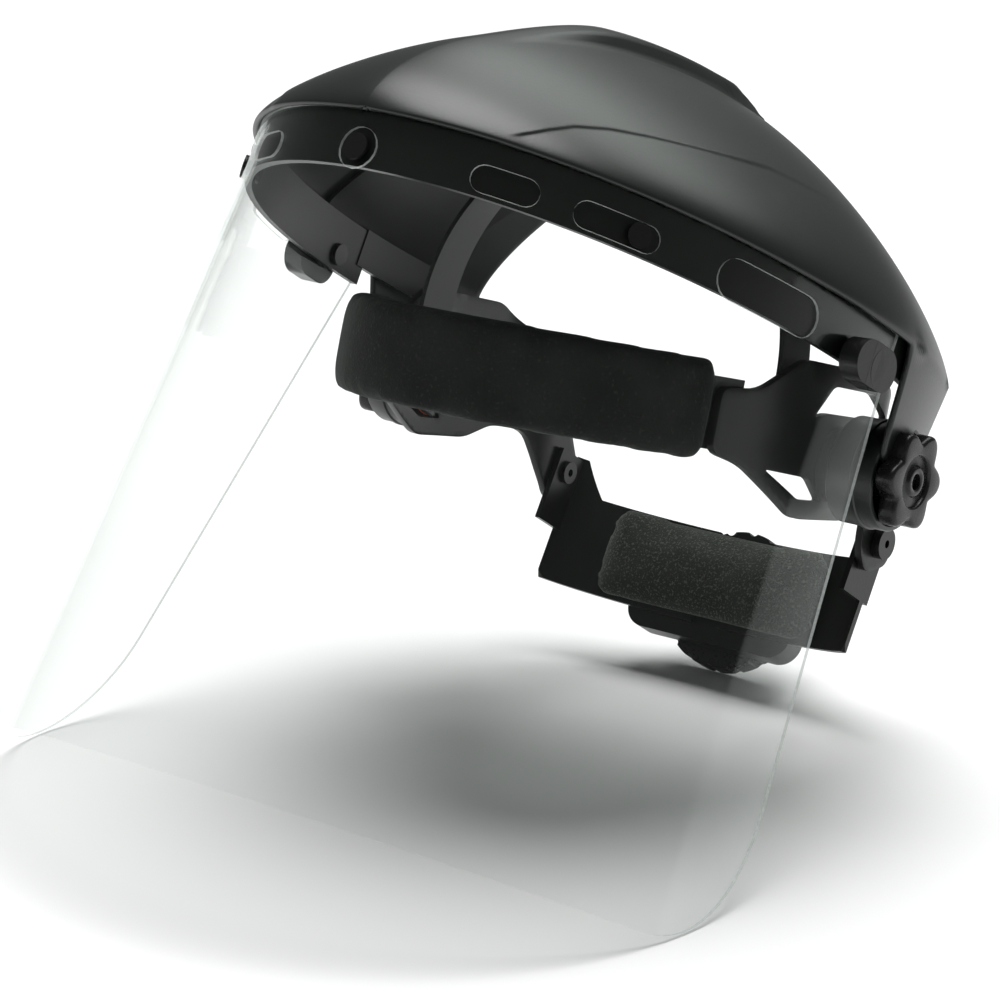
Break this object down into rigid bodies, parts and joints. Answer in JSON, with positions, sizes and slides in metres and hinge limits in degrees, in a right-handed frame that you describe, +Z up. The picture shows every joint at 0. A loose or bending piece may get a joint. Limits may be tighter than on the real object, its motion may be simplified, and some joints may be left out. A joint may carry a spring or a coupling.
{
  "type": "face shield",
  "caption": "Industrial face shield: moulded half-dome crown and wrapped clear window, hinged on a ratchet headgear with a padded brow band and nape strap.",
  "frame": {"origin": "on the floor under the middle of the whole shield, as it stands on the two rear corners of its window and its nape ratchet", "axes": "+Z up, the window faces -Y, +X towards the wearer's left"},
  "size_m": [0.2582, 0.333, 0.2407],
  "materials": {
    "crown_plastic": "satin black moulded plastic with a fine leather-like grain",
    "window_clear": "clear polished polycarbonate sheet",
    "stud_plastic": "black moulded plastic",
    "headgear_plastic": "smooth black polyethylene",
    "sweatband_fabric": "black foam-backed cloth",
    "nape_fabric": "brushed loop-pile foam, charcoal",
    "knob_plastic": "black moulded plastic",
    "gear_plastic": "natural acetal",
    "washer_fibre": "red-brown fibre",
    "steel": "zinc-plated steel",
    "insert_brass": "turned brass"
  },
  "bodies": {
    "headgear": {"headband": "headgear_plastic", "brow_pad": "sweatband_fabric", "overhead_strap_left": "headgear_plastic", "overhead_strap_right": "headgear_plastic", "strap_pin": "stud_plastic", "side_plate_left": "headgear_plastic", "side_plate_right": "headgear_plastic", "pivot_hub_left": "headgear_plastic", "pivot_hub_right": "headgear_plastic", "friction_washer_left": "washer_fibre", "friction_washer_right": "washer_fibre", "pivot_bolt_left": "steel", "pivot_bolt_right": "steel"},
    "crown": {"crown_shell": "crown_plastic", "window_carrier": "crown_plastic", "face_window": "window_clear", "front_stud": "stud_plastic", "side_stud_left": "stud_plastic", "side_stud_right": "stud_plastic", "end_button_left": "stud_plastic", "end_button_right": "stud_plastic"},
    "knob_left": {"tension_knob_left": "knob_plastic", "knob_insert_left": "insert_brass", "spring_washer_left": "steel"},
    "knob_right": {"tension_knob_right": "knob_plastic", "knob_insert_right": "insert_brass", "spring_washer_right": "steel"},
    "nape": {"nape_strap_left": "headgear_plastic", "nape_strap_right": "headgear_plastic", "nape_button_left": "stud_plastic", "nape_button_right": "stud_plastic", "nape_pad": "nape_fabric", "ratchet_housing": "headgear_plastic", "ratchet_cover": "headgear_plastic", "detent_spring": "steel"},
    "ratchet": {"ratchet_knob": "knob_plastic", "ratchet_pinion": "gear_plastic"},
    "rack_left": {"ratchet_rack_left": "gear_plastic"},
    "rack_right": {"ratchet_rack_right": "gear_plastic"}
  },
  "joints": [
    {"name": "crown_lift", "type": "hinge", "parent": "headgear", "child": "crown", "pos_m": [0, 0.07862, 0.10292], "axis": [-1, 0, 0], "range_deg": [-14, 65]},
    {"name": "knob_left_turn", "type": "hinge", "parent": "headgear", "child": "knob_left", "pos_m": [0, 0.07862, 0.10292], "axis": [1, 0, 0], "range_deg": [-270, 90]},
    {"name": "knob_right_turn", "type": "hinge", "parent": "headgear", "child": "knob_right", "pos_m": [0, 0.07862, 0.10292], "axis": [1, 0, 0], "range_deg": [-270, 90]},
    {"name": "nape_tilt", "type": "hinge", "parent": "headgear", "child": "nape", "pos_m": [0, 0.13038, 0.06415], "axis": [-1, 0, 0], "range_deg": [-10, 12]},
    {"name": "ratchet_turn", "type": "hinge", "parent": "nape", "child": "ratchet", "pos_m": [0, 0.14386, 0.0275], "axis": [0, 0.866, -0.5], "range_deg": [-95, 95]},
    {"name": "rack_left_slide", "type": "slide", "parent": "nape", "child": "rack_left", "axis": [1, 0, 0], "range_m": [-0.01, 0.01]},
    {"name": "rack_right_slide", "type": "slide", "parent": "nape", "child": "rack_right", "axis": [1, 0, 0], "range_m": [-0.01, 0.01]}
  ],
  "couplings": [
    {"joint": "rack_left_slide", "follows": "ratchet_turn", "m_per_rad": 0.006},
    {"joint": "rack_right_slide", "follows": "ratchet_turn", "m_per_rad": -0.006}
  ]
}
